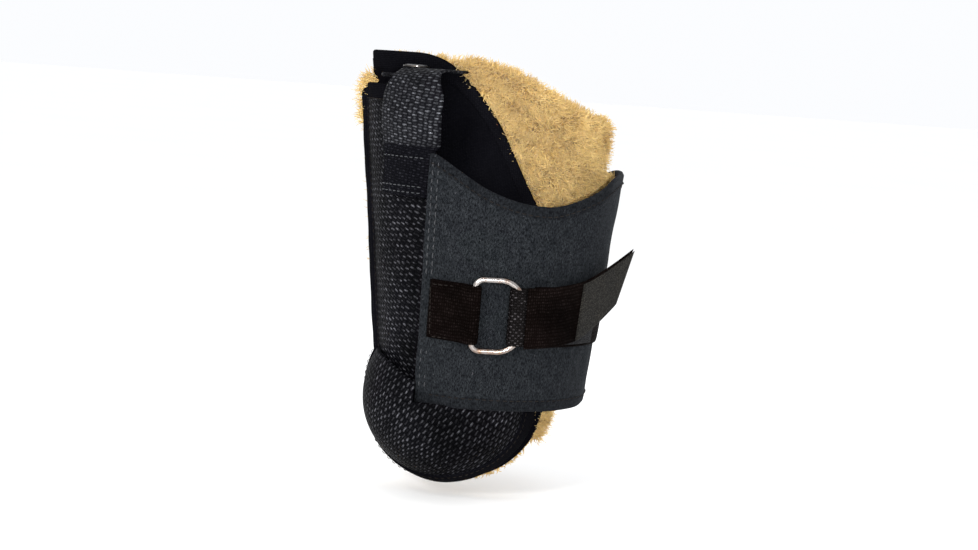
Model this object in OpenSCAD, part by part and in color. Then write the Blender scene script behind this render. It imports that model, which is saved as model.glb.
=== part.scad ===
// Ankle holster: a sheepskin-lined wrap worn round the lower leg, with an open-topped pouch on
// its outer side. Z runs up the leg's axis from the wrap's lower edge, -Y is the outer side of
// the leg and +X is its back. Every layer is a cone shell that follows the leg's taper.

/* [Wrap] */
// Radius of the wrap's outer face at its lower edge
wrap_r = 52; // [51:0.5:53]
// Growth of that radius per millimetre of height
taper = 0.11; // [0.1:0.005:0.12]
// Height of the wrap at its highest, beside the pouch
wrap_h = 118; // [116:1:120]
// Thickness of the wrap's fabric
band_t = 2.5; // [2.3:0.1:2.6]
// Thickness of the sheepskin and fabric behind the wrap
pad_t = 9; // [8.5:0.1:9.5]
// Width of the binding tape
binding_w = 6; // [5:0.5:7]

/* [Pouch] */
// Distance from the leg's axis to the axis of the pouch's rounded front
pouch_depth = 30; // [29:0.5:31]
// Radius of the rounded toe
toe_r = 43.5; // [43:0.5:44]
// Height of the ear at the shin side of the mouth
ear_h = 150; // [148:1:151]
// Height of the back panel
back_h = 166; // [165:1:168]

/* [Straps] */
// Width of the cinch strap
cinch_w = 30; // [28:1:31]
// Height of the cinch strap's centre line
cinch_z = 46; // [45:1:47]
// Diameter of the ring's wire
wire_d = 3; // [2.8:0.1:3]

/* [Hidden] */
$fn = 64;
gap = 0.4;           // clearance between bodies that move apart
eps = 0.1;           // clearance between layers that are sewn together
webbing_t = 1.4;
hook_t = 1;

// Angles round the leg, counted from its back towards the inner side
hinge_a = 35;
flap_a = 130;
flap_end_a = 195;
wing_end_a = 206;

// Heights
base_z = 0;
toe_bottom = -43;
toe_x = -14.5;       // middle of the rounded toe
toe_y = -36.5;
toe_back = -20;      // how far round the shin side the toe reaches
toe_rim = 12;        // depth of the toe's binding, out from the back layers
pad_x = -8;          // middle of the rounded lower end of the back layers
wing_z = [2, 48];
strap_lo = cinch_z - cinch_w / 2;
strap_hi = cinch_z + cinch_w / 2;
retain_z = 124.5;    // line the retention strap folds on
retain_top = 160.2;

// Faces of each layer, measured outwards from the wrap's outer face
band = [-band_t, 0];
binding = [-band_t - 0.1, 0.6];
pad = [-band_t - pad_t, -band_t - 0.2];
front_shell = [-4.7, -2.7];
front_lining = [-6, -4.8];
back_lining = [-0.9, 0];
stiff = [-2.4, -1];
back_shell = [-3.9, -2.5];
leg_pad = [-band_t - pad_t, -4];
wing_skin = [-7.4, -5];
wing_pad = [-band_t - pad_t, -7.5];
wing_loop = [-4.9, -3.9];
flap_hook = [-3.5, -2.6];
run = [0.3, 0.3 + webbing_t];
run_loop = [1.8, 2.8];

band_x = -31;        // seam of the band on the pouch front
pouch_arc = [186, 354];

// Edge lines seen from the outer side, as x and z
mouth = [[band_x, wrap_h + 5.5], [-3, wrap_h - 12], [15, wrap_h - 18], [33, wrap_h - 19],
         [50, wrap_h - 12], [64, wrap_h], [75, wrap_h]];
flap_low = 50;
wrap_top = [for (i = [0:11]) let (u = min(i, 10) / 10, s = 3 * u * u - 2 * u * u * u)
            [-65 + 11.5 * i, flap_low + (wrap_h - 12 - flap_low) * s]];
back_top = [[-75, back_h], [-32, back_h], [-18, back_h - 6], [-4, back_h - 20], [8, back_h - 40],
            [18, back_h - 62], [30, back_h - 80], [75, back_h - 86]];
pad_top = [[-75, back_h], [-10, back_h], [12, back_h - 6], [30, back_h - 16], [48, back_h - 25],
           [75, back_h - 28]];

function radius(z) = wrap_r + taper * z;
function lowered(line, by) = [for (p = line) [p.x, p.y - by]];
function reversed(list) = [for (i = [len(list) - 1:-1:0]) list[i]];
function strip(line, from, to) = concat(lowered(line, from), reversed(lowered(line, to)));
function below(line, by, floor_z) =
    concat(lowered(line, by), [[line[len(line) - 1].x, floor_z], [line[0].x, floor_z]]);

// Section of a layer: radius against height
module section(layer, z) {
    polygon([[radius(z[0]) + layer[0], z[0]], [radius(z[0]) + layer[1], z[0]],
             [radius(z[1]) + layer[1], z[1]], [radius(z[1]) + layer[0], z[1]]]);
}

// Layer round a vertical axis at y = centre, between two angles
module arc(layer, angles, z, centre = 0) {
    translate([0, centre, 0])
        rotate([0, 0, angles[0]])
            rotate_extrude(angle = angles[1] - angles[0], $fn = 128)
                section(layer, z);
}

// Flat length of a layer at the back of the leg, joining the two rounds
module flat(layer, z) {
    rotate([90, 0, 0])
        linear_extrude(pouch_depth)
            section(layer, z);
}

// Block with an outline seen from the outer side, between two y values
module outline(points, y) {
    translate([0, y[1], 0])
        rotate([90, 0, 0])
            linear_extrude(y[1] - y[0])
                polygon(points);
}

module front_arc(layer, angles, points, z = [-60, 180]) {
    intersection() {
        arc(layer, angles, z, -pouch_depth);
        outline(points, [-160, 0]);
    }
}

// A layer that runs over the pouch, past the back of the leg and on round the leg
module round_wrap(layer, from_a, to_a, points) {
    z = [base_z, 140];
    intersection() {
        union() {
            arc(layer, [from_a, 360], z, -pouch_depth);
            flat(layer, z);
            arc(layer, [0, to_a], z);
        }
        outline(points, [-160, 160]);
    }
}

// The fixed part of the wrap, from its seam on the pouch to the first fold
module fixed_wrap(layer, points) {
    round_wrap(layer, 270 - 31, hinge_a - gap, points);
}

module back_wrap(layer, angles, points) {
    intersection() {
        arc(layer, angles, [base_z, 140]);
        outline(points, [-160, 160]);
    }
}

// Outline of the pouch's back layers: straight sides above the wrap's lower edge, round below
module pouch_back(layer, line, grow = 0, drop = 0) {
    side = 7.2 - grow;
    z = [toe_bottom - 6, back_h + 2];
    intersection() {
        arc(layer, [200, 332], z);
        union() {
            outline([[-(radius(base_z) - side), base_z - eps], [radius(base_z) - side, base_z - eps],
                     [radius(back_h) - side, back_h], [-(radius(back_h) - side), back_h]],
                    [-160, 0]);
            intersection() {
                translate([pad_x, 0, 0])
                    rotate([90, 0, 0])
                        cylinder(h = 160, r = toe_r - 3 + grow, $fn = 96);
                outline([[-80, -60], [60, -60], [60, base_z], [-80, base_z]], [-160, toe_back]);
            }
        }
        outline(below(line, drop, -70), [-160, 0]);
    }
}

module pouch_front_panel() {
    low = base_z + eps;
    line = [for (i = [1:6]) [mouth[i].x, mouth[i].y - binding_w - 0.2]];
    color("#17171a")
        front_arc(front_shell, pouch_arc,
            concat([[75, low], [-75, low], [-75, ear_h - binding_w],
                    [band_x + 0.5, ear_h - binding_w], [band_x + 0.5, wrap_h - 1]], line));
}

module toe_ball(r) {
    translate([toe_x, toe_y, 0])
        sphere(r = r, $fn = 96);
}

// Solid round the leg's axis out to a distance from the wrap's face
module core(grow, z, centre = 0) {
    translate([0, centre, z[0]])
        cylinder(h = z[1] - z[0], r1 = radius(z[0]) + grow, r2 = radius(z[1]) + grow, $fn = 128);
}

module toe_zone() {
    outline([[-80, -60], [60, -60], [60, base_z - gap], [-80, base_z - gap]], [-160, toe_back]);
}

// The toe's shoulder rises beside the band, over the bare strip of the pouch front
module shoulder_zone() {
    outline([[-80, base_z - gap], [band_x - gap, base_z - gap], [band_x - gap, 34], [-80, 34]],
            [-160, toe_back - 4]);
}

module pouch_toe() {
    color("#17171a")
        difference() {
            intersection() {
                toe_ball(toe_r);
                union() {
                    toe_zone();
                    shoulder_zone();
                }
            }
            toe_ball(toe_r - 2.2);
            core(toe_rim + 0.2, [-70, base_z - gap / 2]);
            core(front_shell[1] + eps, [base_z - gap / 2, 60], -pouch_depth);
            arc([-30, 0.5], [160, pouch_arc[0]], [base_z - gap / 2, 60], -pouch_depth);
        }
}

module toe_binding() {
    color("#0e0e10")
        difference() {
            intersection() {
                toe_ball(toe_r + 0.6);
                toe_zone();
                core(toe_rim, [-70, 10]);
            }
            toe_ball(toe_r - 2.8);
            core(eps, [-70, 10]);
        }
}

module pouch_front_lining() {
    color("#26262a")
        front_arc(front_lining, pouch_arc,
            [[-75, base_z + eps], [75, base_z + eps], [75, wrap_h - 26], [band_x + 1, wrap_h - 26],
             [band_x + 1, ear_h - binding_w], [-75, ear_h - binding_w]]);
}

module pouch_back_lining() {
    color("#26262a")
        pouch_back(back_lining, back_top, drop = binding_w + 0.2);
}

module back_stiffener() {
    color("#3a3a3c")
        pouch_back(stiff, back_top, grow = -4, drop = binding_w + 4);
}

module back_panel() {
    color("#17171a")
        pouch_back(back_shell, back_top, drop = binding_w + 0.2);
}

module fleece_pad() {
    color("#c9a877")
        intersection() {
            pouch_back(leg_pad, pad_top, grow = 5);
            arc(leg_pad, [wing_end_a + 1, 331], [-60, 180]);
        }
}

module edge_binding() {
    color("#0e0e10")
        arc([-7, 0.4], [178, pouch_arc[0] - 0.2], [base_z, ear_h], -pouch_depth);
}

module seam_tape() {
    color("#0e0e10")
        arc([-7, front_shell[1]], [pouch_arc[1] + 0.2, 361], [base_z, wrap_h - 10], -pouch_depth);
}

module ear_binding() {
    color("#0e0e10")
        front_arc([front_lining[0], front_shell[1] + 0.3], [pouch_arc[0], 262],
            [[-75, ear_h - binding_w + 0.2], [band_x, ear_h - binding_w + 0.2], [band_x, ear_h],
             [-75, ear_h]]);
}

module back_binding() {
    color("#0e0e10")
        difference() {
            pouch_back([back_shell[0], back_lining[1] + 0.5], back_top);
            outline(below(back_top, binding_w, -90), [-160, 10]);
        }
}

module band_front_panel() {
    color("#2b2f38")
        fixed_wrap(band, below(mouth, binding_w, base_z + binding_w));
}

module mouth_binding() {
    color("#1d1f24")
        fixed_wrap(binding, strip(mouth, 0, binding_w));
}

module band_hem() {
    color("#1d1f24")
        fixed_wrap([binding[0], 0.3], [[band_x, base_z], [75, base_z], [75, base_z + binding_w],
                                       [band_x, base_z + binding_w]]);
}

module band_fleece() {
    color("#c9a877")
        intersection() {
            arc(pad, [332.5, 360 + hinge_a - gap], [base_z + 1, wrap_h]);
            outline(below(mouth, 2, base_z), [-160, 160]);
        }
}

// One stitch lying on a layer: a short rod along the leg or round it
module stitch(angle, z, offset, centre, upright = true) {
    translate([0, centre, 0])
        rotate([0, 0, angle])
            translate([radius(z) + offset + 0.3, 0, z])
                rotate(upright ? [0, atan(taper), 0] : [90, 0, 0])
                    cylinder(h = 2.4, d = 0.5, center = true, $fn = 16);
}

module upright_row(angle, z, pitch, offset, centre) {
    n = floor((z[1] - z[0]) / pitch);
    for (i = [0:n])
        stitch(angle, z[0] + i * pitch, offset, centre);
}

module level_row(angles, z, pitch_a, offset, centre) {
    n = floor((angles[1] - angles[0]) / pitch_a);
    for (i = [0:n])
        stitch(angles[0] + i * pitch_a, z, offset, centre, false);
}

module band_stitching() {
    color("#8b8e94")
        for (side = [0, 1])
            for (i = [0:25]) {
                z = base_z + 9 + i * 4;
                x = band_x + 2 + 2.6 * side;
                if (abs(z - cinch_z) > cinch_w / 2 + 1.5 && z < wrap_h - 2)
                    stitch(180 + acos(-x / radius(z)), z, 0.02, -pouch_depth);
            }
}

module front_wing() {
    color("#2b2f38")
        arc(wing_skin, [flap_a + 31, wing_end_a], wing_z);
}

module wing_fleece() {
    color("#c9a877")
        arc(wing_pad, [flap_a + 31, wing_end_a], wing_z);
}

module wing_loop_patch() {
    color("#1c1c20")
        arc(wing_loop, [flap_a + 34, flap_end_a - 2], [wing_z[0] + 4, wing_z[1] - 5]);
}

// Frame lying on the wrap's outer face at the middle of the ring: x along the strap, -y outwards
ring_a = 6;
ring_off = 3.1;
module on_ring() {
    translate([0, -pouch_depth, 0])
        rotate([0, 0, ring_a])
            translate([0, -radius(cinch_z) - ring_off, cinch_z])
                rotate([atan(taper), 0, 0])
                    children();
}

bar_x = -11.5;
ring_half_h = 17.5;
ring_corner = 11;
bar_corner = 4;
fold_x = 8.3;
fold_end = 13.6;

module wire(length) {
    cylinder(h = length, d = wire_d, $fn = 32);
}

module bend(radius_, angle) {
    rotate_extrude(angle = angle, $fn = 64)
        translate([radius_, 0])
            circle(d = wire_d, $fn = 32);
}

module d_ring() {
    color("#c8c8cc")
        on_ring() {
            translate([bar_x, 0, -ring_half_h + bar_corner])
                wire(2 * (ring_half_h - bar_corner));
            translate([-bar_x, 0, -ring_half_h + ring_corner])
                wire(2 * (ring_half_h - ring_corner));
            for (s = [-1, 1]) {
                translate([bar_x + bar_corner, 0, s * ring_half_h])
                    rotate([0, 90, 0])
                        wire(-2 * bar_x - bar_corner - ring_corner);
                translate([-bar_x - ring_corner, 0, s * (ring_half_h - ring_corner)])
                    rotate([90, s > 0 ? 0 : 90, 0])
                        bend(ring_corner, 90);
                translate([bar_x + bar_corner, 0, s * (ring_half_h - bar_corner)])
                    rotate([90, s > 0 ? -90 : 180, 0])
                        bend(bar_corner, 90);
            }
        }
}

// Strap passing round a bar: half a tube with two straight legs
module strap_loop(bar, leg_end, inner, height, side) {
    translate([bar, 0, -height / 2])
        linear_extrude(height) {
            difference() {
                circle(r = inner + webbing_t, $fn = 48);
                circle(r = inner, $fn = 48);
                translate([side > 0 ? 0 : -20, -10])
                    square(20);
            }
            for (s = [-1, 1])
                translate([side > 0 ? 0 : leg_end - bar,
                           s > 0 ? inner : -inner - webbing_t])
                    square([abs(leg_end - bar), webbing_t]);
        }
}

module strap_fold() {
    color("#1a1614")
        on_ring()
            strap_loop(fold_x, fold_end, 1.8, 27.4, 1);
}

module ring_keeper() {
    color("#1a1614") {
        on_ring()
            strap_loop(bar_x, bar_x - 4.5, 1.8, 25.4, -1);
        arc([0.1, 5.1], [270 - 28.5, 270 + ring_a - 15.2], [strap_lo, strap_hi], -pouch_depth);
    }
}

module keeper_stitching() {
    color("#5f5248") {
        for (a = [270 - 26.5, 270 - 13])
            upright_row(a, [strap_lo + 4, strap_hi - 3], 3.4, 5.12, -pouch_depth);
        for (z = [strap_lo + 2, strap_hi - 1.6])
            level_row([270 - 25, 270 - 14], z, 3.4, 5.12, -pouch_depth);
    }
}

module cinch_strap_run() {
    color("#1a1614")
        round_wrap(run, 270 + 22, 29, [[-75, strap_lo], [75, strap_lo], [75, strap_hi],
                                       [-75, strap_hi]]);
}

module run_loop_patch() {
    color("#1c1c20")
        arc(run_loop, [270 + 26, 270 + 66], [strap_lo + 1.5, strap_hi - 1.5], -pouch_depth);
}

module anchor_stitching() {
    color("#5f5248") {
        for (a = [12, 27])
            upright_row(a, [strap_lo + 3, strap_hi - 3], 3.4, run[1] + 0.02, 0);
        for (z = [strap_lo + 1.6, strap_hi - 1.6])
            level_row([14, 25.5], z, 3.4, run[1] + 0.02, 0);
    }
}

// The tail lies on its own shallower curve, high at the ring and low at its free end
tail_centre = -pouch_depth - 5.5;
tail_off = 1.1;
tail_arc = [270 + 21, 270 + 50];
tail_end = 30;
tail_layer = [tail_off, tail_off + webbing_t];

module at_tail_end() {
    translate([0, tail_centre, 0])
        rotate([0, 0, tail_arc[1]])
            translate([radius(cinch_z) + tail_off, 0, cinch_z])
                rotate([0, atan(taper), 0])
                    rotate([12, 0, 0])
                        children();
}

module strap_tail() {
    color("#1a1614") {
        arc(tail_layer, tail_arc, [strap_lo, strap_hi], tail_centre);
        at_tail_end()
            translate([0, -2, -cinch_w / 2 + 0.5])
                cube([webbing_t, tail_end + 2, cinch_w - 1]);
    }
}

module tail_hook_patch() {
    color("#3d3d33")
        arc([tail_off - hook_t, tail_off - eps], [tail_arc[0] + 14, tail_arc[1] - 1],
            [strap_lo + 1.5, strap_hi - 1.5], tail_centre);
}

module tail_end_tab() {
    color("#56564a")
        at_tail_end()
            translate([webbing_t + eps, 4, -cinch_w / 2 + 1])
                cube([0.9, tail_end - 5, cinch_w - 2]);
}

base_layer = [-2.5, -2.5 + webbing_t];
retain_layer = [-2, -2 + webbing_t];
retain_x = [-57, -27];

module retention_base() {
    color("#16161a")
        front_arc(base_layer, [190, 262],
            [[-55.5, 98], [band_x - 0.6, 98], [band_x - 0.6, retain_z - gap], [-55.5, retain_z - gap]]);
}

module base_stitching() {
    color("#4b4d52")
        for (z = [101, 119])
            level_row([214, 238], z, 3.6, base_layer[1] + 0.02, -pouch_depth);
}

snap_x = -41;
snap_y = -66;
tab_z = 156;

module retention_strap() {
    x = retain_x;
    color("#1d1d22") {
        front_arc(retain_layer, [186, 268],
            [[x[0], retain_z], [x[1], retain_z], [x[1], retain_top + webbing_t],
             [x[0], retain_top + webbing_t]]);
        difference() {
            intersection() {
                core(retain_layer[1], [retain_top, retain_top + webbing_t], -pouch_depth);
                outline([[x[0], 0], [x[1], 0], [x[1], 200], [x[0], 200]], [-160, snap_y + 8]);
            }
            core(1.5, [retain_top - 5, retain_top + 5]);
        }
    }
}

module snap_disc(z, r, h) {
    translate([snap_x, snap_y, z])
        cylinder(h = h, r = r, $fn = 48);
}

module snap_socket() {
    color("#2c2c2e")
        difference() {
            snap_disc(retain_top - 1.2, 6, 1.2);
            snap_disc(retain_top - 2, 4.4, 3);
        }
}

module snap_cap() {
    color("#2c2c2e") {
        snap_disc(retain_top + webbing_t, 6.5, 0.7);
        translate([snap_x, snap_y, retain_top + webbing_t + 0.7])
            cylinder(h = 0.5, r1 = 6, r2 = 4.5, $fn = 48);
    }
}

module snap_stud() {
    color("#2c2c2e") {
        snap_disc(tab_z + 2, 5, 0.6);
        snap_disc(tab_z + 2, 2.2, 1.7);
    }
}

module thumb_tab() {
    color("#17171a")
        intersection() {
            difference() {
                translate([snap_x - 11, snap_y - 8, tab_z])
                    cube([22, 40, 2]);
                core(0.7, [tab_z - 10, tab_z + 10]);
            }
            core(-8, [tab_z - 10, tab_z + 10], -pouch_depth);
        }
}

module band_far_panel() {
    color("#2b2f38")
        back_wrap(band, [hinge_a + gap, flap_a - gap], below(wrap_top, binding_w, base_z + binding_w));
}

module far_binding() {
    color("#1d1f24")
        back_wrap(binding, [hinge_a + gap, flap_a - gap], strip(wrap_top, 0, binding_w));
}

module far_hem() {
    color("#1d1f24")
        back_wrap([binding[0], 0.3], [hinge_a + gap, flap_a - gap],
                  [[-75, base_z], [75, base_z], [75, base_z + binding_w], [-75, base_z + binding_w]]);
}

module far_fleece() {
    color("#c9a877")
        back_wrap(pad, [hinge_a + gap, flap_a - gap], below(wrap_top, 2, base_z + 1));
}

module band_flap() {
    color("#2b2f38")
        arc(band, [flap_a + gap, flap_end_a], [base_z + binding_w + 1, flap_low - binding_w]);
}

module flap_binding() {
    color("#1d1f24") {
        arc(binding, [flap_a + gap, flap_end_a], [flap_low - binding_w, flap_low + 1]);
        arc(binding, [flap_end_a, flap_end_a + 5], [base_z + 1, flap_low + 1]);
    }
}

module flap_hem() {
    color("#1d1f24")
        arc(binding, [flap_a + gap, flap_end_a], [base_z + 1, base_z + binding_w + 1]);
}

module flap_fleece() {
    color("#c9a877")
        arc(pad, [flap_a + gap, flap_a + 28], [base_z + 2, flap_low - 1]);
}

module flap_hook_patch() {
    color("#3d3d33")
        arc(flap_hook, [flap_a + 36, flap_end_a - 3], [wing_z[0] + 5, wing_z[1] - 7]);
}

pouch_front_panel();
pouch_toe();
toe_binding();
pouch_front_lining();
pouch_back_lining();
back_stiffener();
back_panel();
fleece_pad();
edge_binding();
seam_tape();
ear_binding();
back_binding();
band_front_panel();
mouth_binding();
band_hem();
band_fleece();
band_stitching();
front_wing();
wing_fleece();
wing_loop_patch();
ring_keeper();
keeper_stitching();
cinch_strap_run();
run_loop_patch();
anchor_stitching();
retention_base();
base_stitching();
thumb_tab();
snap_stud();
d_ring();
strap_fold();
strap_tail();
tail_hook_patch();
tail_end_tab();
retention_strap();
snap_socket();
snap_cap();
band_far_panel();
far_binding();
far_hem();
far_fleece();
band_flap();
flap_binding();
flap_hem();
flap_fleece();
flap_hook_patch();
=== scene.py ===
"""Looks of the sheepskin-lined ankle holster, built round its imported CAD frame."""
import math

import bpy
import numpy as np
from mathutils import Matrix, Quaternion, Vector


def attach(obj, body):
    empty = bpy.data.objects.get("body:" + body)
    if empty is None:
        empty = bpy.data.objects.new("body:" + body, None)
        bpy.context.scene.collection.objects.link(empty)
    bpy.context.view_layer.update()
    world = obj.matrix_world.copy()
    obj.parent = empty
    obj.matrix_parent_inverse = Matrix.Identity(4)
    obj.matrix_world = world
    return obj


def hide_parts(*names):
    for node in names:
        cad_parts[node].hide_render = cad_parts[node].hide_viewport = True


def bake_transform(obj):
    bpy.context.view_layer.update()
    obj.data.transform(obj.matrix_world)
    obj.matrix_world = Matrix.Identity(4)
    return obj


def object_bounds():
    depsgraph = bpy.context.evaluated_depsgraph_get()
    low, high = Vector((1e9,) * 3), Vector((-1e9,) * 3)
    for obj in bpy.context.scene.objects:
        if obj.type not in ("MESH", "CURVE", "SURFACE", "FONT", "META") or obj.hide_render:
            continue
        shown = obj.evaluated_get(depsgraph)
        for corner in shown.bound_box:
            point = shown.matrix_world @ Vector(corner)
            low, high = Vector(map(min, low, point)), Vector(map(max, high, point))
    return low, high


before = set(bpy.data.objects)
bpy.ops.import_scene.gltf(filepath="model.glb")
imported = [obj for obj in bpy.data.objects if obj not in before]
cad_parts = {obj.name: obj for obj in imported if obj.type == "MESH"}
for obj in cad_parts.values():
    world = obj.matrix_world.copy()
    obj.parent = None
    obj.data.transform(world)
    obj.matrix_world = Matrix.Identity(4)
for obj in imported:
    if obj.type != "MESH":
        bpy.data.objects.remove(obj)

cad_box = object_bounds()
rng = np.random.default_rng(7)

# ---- the design's cone, in millimetres
MM = 0.001
WRAP_R = 52.0           # the wrap's outer radius at its lower edge
TAPER = 0.11            # growth of that radius per millimetre of height
POUCH = 30.0            # from the leg's axis to the axis of the pouch's rounded front
BAND_X = -31.0          # seam of the band on the pouch front
BINDING = 6.0
EAR_H, FLAP_H = 150.0, 50.0
TOE_R, TOE_X, TOE_Y, TOE_RIM = 43.5, -14.5, -36.5, 12.0
BACK_X = -8.0           # middle of the rounded foot of the back layers
CINCH_Z = 46.0
WEBBING_W, WEBBING_T = 30.0, 1.35
RING_A, RING_OFF = 6.0, 3.1
HINGE_A, FLAP_A, FLAP_END, WING_END = 35.0, 130.0, 198.0, 206.0

MOUTH = [(-75, 123.5), (-31, 123.5), (-3, 106), (15, 100), (33, 99), (50, 106), (64, 118), (90, 118)]
NYLON_TOP = [(-90, 166), (-32, 166), (-18, 160), (-4, 146), (8, 126), (18, 104), (30, 86), (90, 80)]
PAD_TOP = [(-90, 166), (-10, 166), (12, 160), (30, 150), (48, 141), (75, 138)]


def smooth_line(points, reach=7.0):
    """A height against x that rounds the corners of a list of points."""
    xs, zs = np.array(points, float).T

    def height(x):
        x = np.asarray(x, float)
        return sum(np.interp(x + d, xs, zs) for d in np.linspace(-reach, reach, 9)) / 9
    return height


mouth, nylon_top, pad_top = (smooth_line(p) for p in (MOUTH, NYLON_TOP, PAD_TOP))


def far_top(x):
    u = np.clip((np.asarray(x, float) + 65) / 115, 0, 1)
    return FLAP_H + (mouth(52.3) - FLAP_H) * (3 * u * u - 2 * u ** 3)


def radius(z):
    return WRAP_R + TAPER * np.asarray(z, float)


def unit(v):
    return v / np.linalg.norm(v, axis=-1, keepdims=True)


def rounded(t):
    """Height of a quarter round, at a share of its radius in from its edge."""
    return np.sqrt(np.clip(1 - (1 - np.clip(t, 0, 1)) ** 2, 0, 1))


def lengths(path):
    """Distance run along a path, at each of its points."""
    return np.cumsum(np.linalg.norm(np.diff(path, axis=0, prepend=path[:1]), axis=1))


def below(line, drop):
    return lambda x: line(x) - drop


def leg(angle, off, z):
    """Point on a layer round the leg: angle in degrees, distance out from the wrap's face, height."""
    a, r = np.radians(angle), radius(z) + off
    return np.stack(np.broadcast_arrays(r * np.cos(a), r * np.sin(a), z), -1)


def pouch(angle, off, z):
    """The same round the axis of the pouch's front."""
    p = leg(angle, off, z)
    p[..., 1] -= POUCH
    return p


def wrap(q, off, z):
    """The same along the whole wrap: over the pouch (q < 0), past the flat (0 to 30), round the leg."""
    q, off, z = np.broadcast_arrays(np.asarray(q, float), off, z)
    flat = np.stack([radius(z) + off, q - POUCH, z], -1)
    return np.where((q < 0)[..., None], pouch(q, off, z),
                    np.where((q > POUCH)[..., None], leg(q - POUCH, off, z), flat))


def pouch_angle(x, z, off):
    """Angle round the pouch's front where a layer has a given x."""
    return 360 - np.degrees(np.arccos(np.clip(np.asarray(x, float) / (radius(z) + off), -1, 1)))


# ---- materials
CLOTH_UNIT = 100        # millimetres of cloth to one unit of a piece's UVs


def material(name):
    m = bpy.data.materials.new(name)
    m.use_nodes = True
    return m, Graph(m.node_tree), m.node_tree.nodes["Principled BSDF"].inputs


class Graph:
    """Short calls for wiring a material's nodes."""

    def __init__(self, tree):
        self.tree = tree

    def node(self, kind, **values):
        n = self.tree.nodes.new(kind)
        for k, v in values.items():
            setattr(n, k, v)
        return n

    def put(self, socket, value):
        if isinstance(value, bpy.types.NodeSocket):
            self.tree.links.new(value, socket)
        else:
            socket.default_value = value

    def fill(self, inputs, values):
        for name, value in values.items():
            self.put(inputs[name], value)

    def cloth(self):
        return self.node("ShaderNodeUVMap", uv_map="cloth").outputs[0]

    def split(self, vector):
        n = self.node("ShaderNodeSeparateXYZ")
        self.put(n.inputs[0], vector)
        return n.outputs

    def scaled(self, vector, scale):
        n = self.node("ShaderNodeMapping")
        self.fill(n.inputs, {"Vector": vector, "Scale": scale})
        return n.outputs[0]

    def math(self, operation, a, b=0.0, c=0.0):
        n = self.node("ShaderNodeMath", operation=operation)
        for i, v in enumerate((a, b, c)):
            self.put(n.inputs[i], v)
        return n.outputs[0]

    def noise(self, scale, detail=3.0, vector=None, rough=0.55):
        n = self.node("ShaderNodeTexNoise")
        if vector is None:
            vector = self.node("ShaderNodeTexCoord").outputs["Object"]
        self.fill(n.inputs, {"Scale": scale, "Detail": detail, "Roughness": rough, "Vector": vector})
        return n.outputs["Fac"]

    def ramp(self, fac, stops):
        n = self.node("ShaderNodeValToRGB")
        e = n.color_ramp.elements
        while len(e) < len(stops):
            e.new(0.5)
        for item, (at, c) in zip(e, stops):
            item.position = at
            item.color = (*c, 1)
        self.put(n.inputs[0], fac)
        return n.outputs[0]

    def mask(self, fac, low, high):
        return self.ramp(fac, [(low, (0, 0, 0)), (high, (1, 1, 1))])

    def mix(self, fac, a, b, blend="MIX"):
        n = self.node("ShaderNodeMix", data_type="RGBA", blend_type=blend)
        self.put(n.inputs[0], fac)
        for socket, v in ((n.inputs[6], a), (n.inputs[7], b)):
            self.put(socket, (*v, 1) if isinstance(v, tuple) else v)
        return n.outputs[2]

    def bump(self, height, distance, strength=1.0, under=None):
        n = self.node("ShaderNodeBump")
        self.fill(n.inputs, {"Strength": strength, "Distance": distance, "Height": height})
        if under is not None:
            self.put(n.inputs["Normal"], under)
        return n.outputs[0]

    def remap(self, value, low, high):
        n = self.node("ShaderNodeMapRange")
        self.fill(n.inputs, {0: value, 3: low, 4: high})
        return n.outputs[0]


def woven(name, dark, light, pitch, depth, rough, turn=0.0, jitter=0.12, glint_speckle=0.0, specular=0.2,
          highlight_patchiness=0.25, cross=0.6):
    """A plain weave laid along the piece's cloth UVs, with a pitch in millimetres each way. Its base colour
    holds a painted highlight: the yarn tops go towards the light colour in flecks.
    """
    m, g, shader = material(name)
    turned = g.node("ShaderNodeVectorRotate", rotation_type="Z_AXIS")
    g.fill(turned.inputs, {"Vector": g.cloth(), "Angle": math.radians(turn)})
    parts = g.split(turned.outputs[0])
    drift = g.noise(160, 2)
    wave = []
    for i in (0, 1):
        cell = g.math("MULTIPLY_ADD", parts[i], CLOTH_UNIT / pitch[i],
                      g.math("MULTIPLY", g.noise(90 + 50 * i, 1), jitter * 6))
        cell = g.math("ADD", cell, g.math("MULTIPLY", drift, jitter))
        wave.append((g.math("FLOOR", cell),
                     g.math("SINE", g.math("MULTIPLY", g.math("FRACT", cell), math.pi))))
    side = g.math("MODULO", g.math("ABSOLUTE", g.math("ADD", wave[0][0], wave[1][0])), 2.0)
    over = g.math("MULTIPLY", g.math("POWER", wave[0][1], 0.45), wave[1][1])
    under = g.math("MULTIPLY", g.math("POWER", wave[1][1], 0.45), wave[0][1])
    over = g.math("MULTIPLY", over, g.math("SUBTRACT", 1.0, side))
    under = g.math("MULTIPLY", g.math("MULTIPLY", under, side), 0.8)
    height = g.math("ADD", over, under)
    # Painted highlight: the yarn tops shine in flecks and along their filaments.
    glint_fleck = g.mask(g.noise(330, 3), 0.42, 0.66)
    strands = g.scaled(turned.outputs[0], (60, 420, 1))
    filament = g.ramp(g.noise(1.0, 2, strands), [(0.36, (0.12,) * 3), (0.62, (1, 1, 1))])
    painted_highlight = g.math("MULTIPLY", g.math("POWER", g.math("MULTIPLY_ADD", under, cross, over), 1.9),
                 g.math("MULTIPLY", filament, g.math("MULTIPLY_ADD", glint_fleck, glint_speckle, 1 - glint_speckle)))
    # Base colour: the dark cloth, lightened towards the light colour where the painted highlight falls.
    colour = g.mix(painted_highlight, dark, light)
    # Patches where the painted highlight is stronger and weaker.
    patch = g.ramp(g.noise(28, 4), [(0.35, (1 - highlight_patchiness,) * 3), (0.7, (1 + highlight_patchiness,) * 3)])
    soft = g.bump(g.noise(45, 3), 0.0012, 0.35)
    g.fill(shader, {"Base Color": g.mix(1.0, colour, patch, "MULTIPLY"),
                    "Roughness": g.remap(height, min(1.0, rough + 0.18), rough),
                    "Normal": g.bump(height, depth * MM, 1.0, soft),
                    "Specular IOR Level": specular * 0.08})
    return m


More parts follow.
